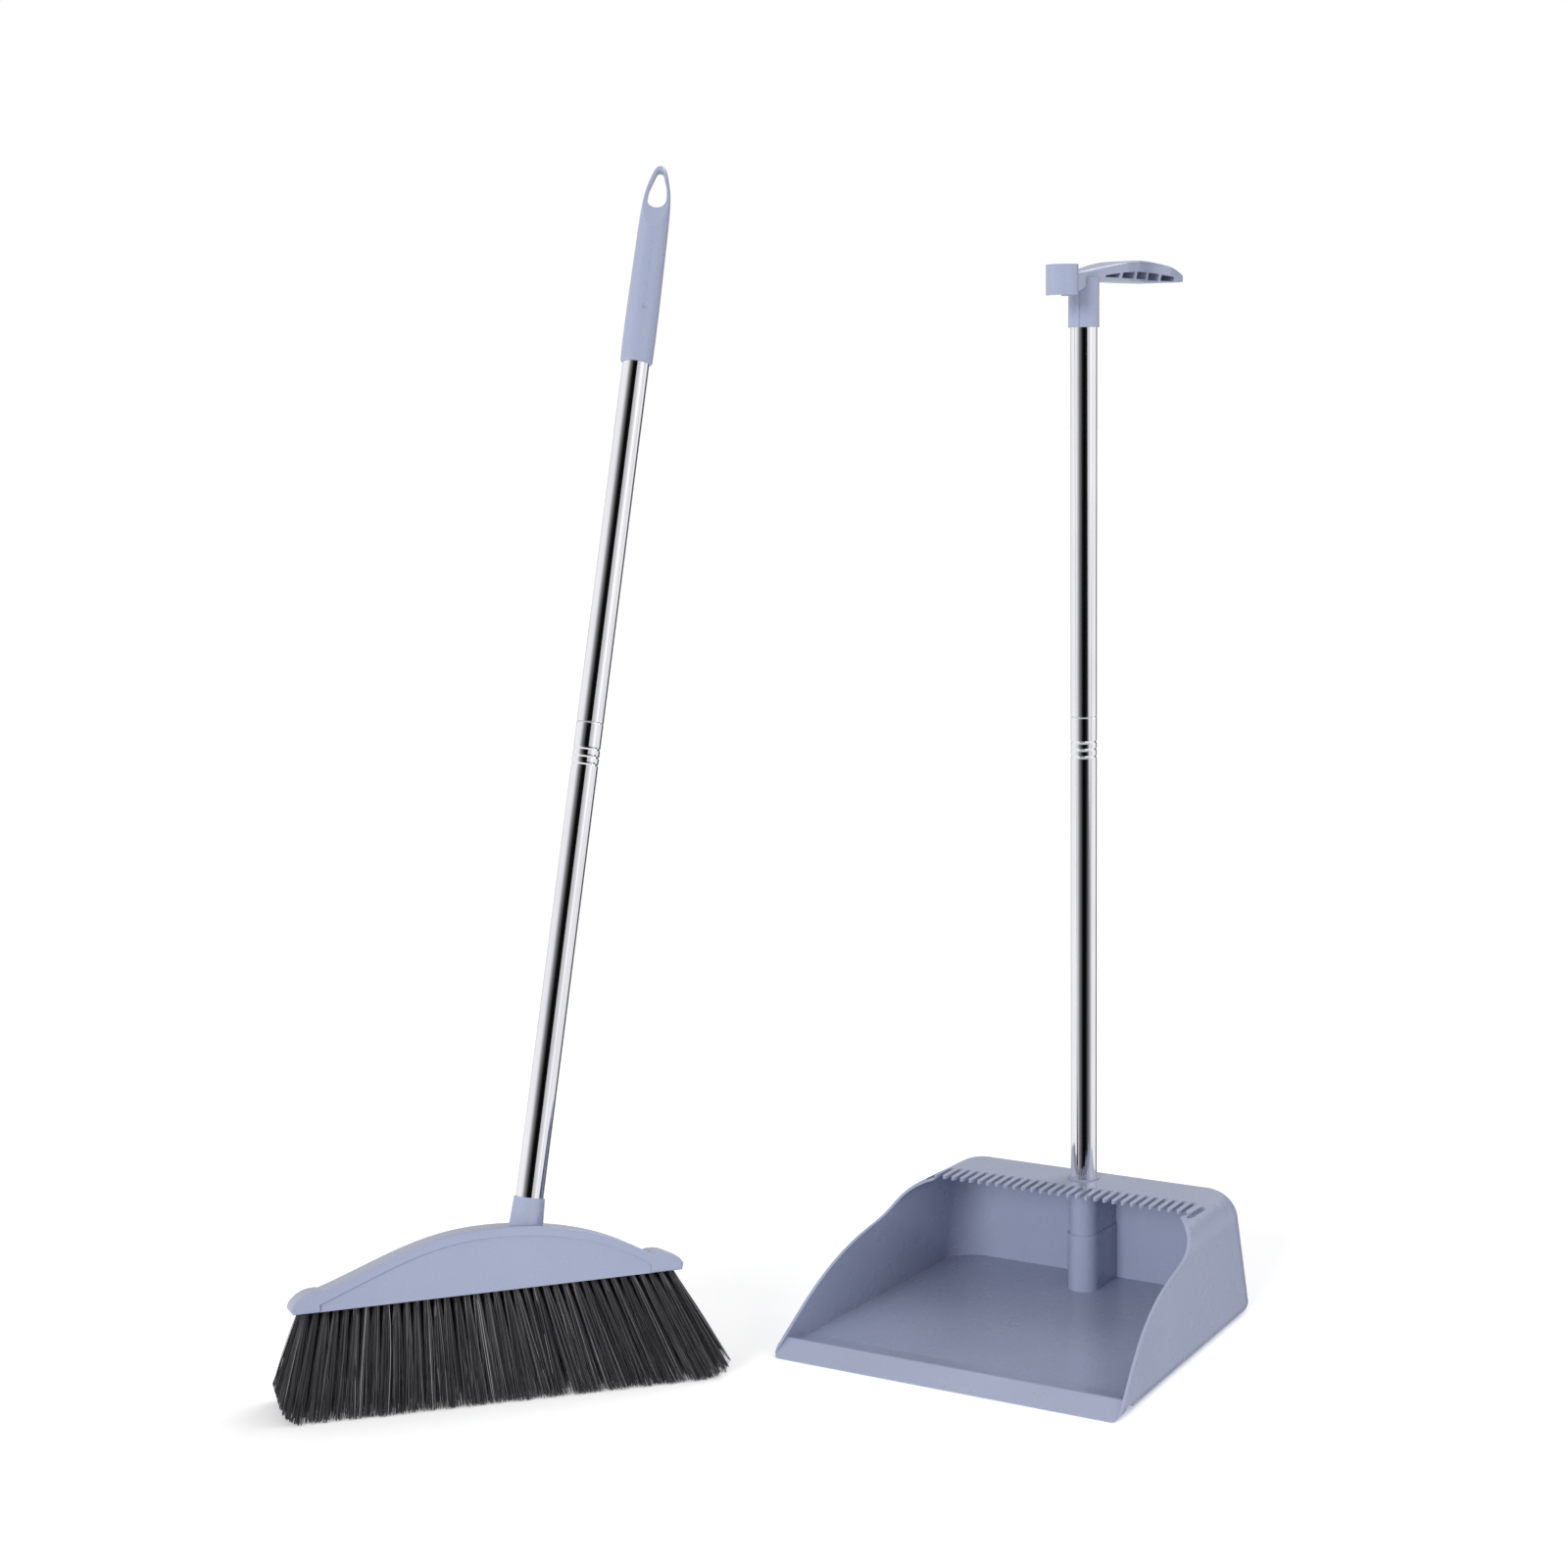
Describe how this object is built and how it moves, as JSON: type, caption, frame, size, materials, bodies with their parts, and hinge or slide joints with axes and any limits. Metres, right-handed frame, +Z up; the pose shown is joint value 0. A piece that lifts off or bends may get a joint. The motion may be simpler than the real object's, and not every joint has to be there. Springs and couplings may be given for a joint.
{
  "type": "dustpan and broom set",
  "caption": "Long-handled dustpan with a comb-edged hood and a handle clip, standing beside its angled soft broom with a chromed two-part pole.",
  "frame": {"origin": "underside of the pan, on the axis of the pan's pole", "axes": "+Z up the dustpan's pole; the pan's mouth faces -Y and its width runs along X"},
  "size_m": [0.5128, 0.6571, 0.8225],
  "materials": {
    "pan_plastic": "satin moulded polypropylene",
    "tube_steel": "mirror bright",
    "insert_plastic": "matte",
    "bristle": "soft filaments"
  },
  "bodies": {
    "dustpan_base": {"pan_shell": "pan_plastic", "pan_lower_tube": "tube_steel", "pan_pole_connector": "insert_plastic", "pan_pole_foot": "insert_plastic"},
    "dustpan_top": {"pan_upper_tube": "tube_steel", "pan_handle": "pan_plastic"},
    "broom_head": {"broom_head_shell": "pan_plastic", "bristle_block": "insert_plastic", "bristle_row_1": "bristle", "bristle_row_2": "bristle", "bristle_row_3": "bristle", "bristle_row_4": "bristle", "bristle_row_5": "bristle"},
    "broom_lower_pole": {"broom_lower_tube": "tube_steel", "broom_pole_connector": "insert_plastic", "broom_thread_plug": "insert_plastic"},
    "broom_upper_pole": {"broom_upper_tube": "tube_steel", "broom_grip": "pan_plastic"}
  },
  "joints": [
    {"name": "broom_lift", "type": "slide", "parent": "dustpan_base", "child": "broom_head", "axis": [0, 0, 1], "range_m": [0, 0.3]},
    {"name": "dustpan_pole_thread", "type": "hinge", "parent": "dustpan_base", "child": "dustpan_top", "pos_m": [0, 0, 0.4287], "axis": [0, 0, 1], "range_deg": [0, 360]},
    {"name": "broom_head_thread", "type": "hinge", "parent": "broom_head", "child": "broom_lower_pole", "pos_m": [-0.25786, -0.34143, 0.09515], "axis": [-0.012, 0.2778, 0.9606], "range_deg": [0, 360]},
    {"name": "broom_pole_thread", "type": "hinge", "parent": "broom_lower_pole", "child": "broom_upper_pole", "pos_m": [-0.26215, -0.24249, 0.43731], "axis": [-0.012, 0.2778, 0.9606], "range_deg": [0, 360]}
  ]
}
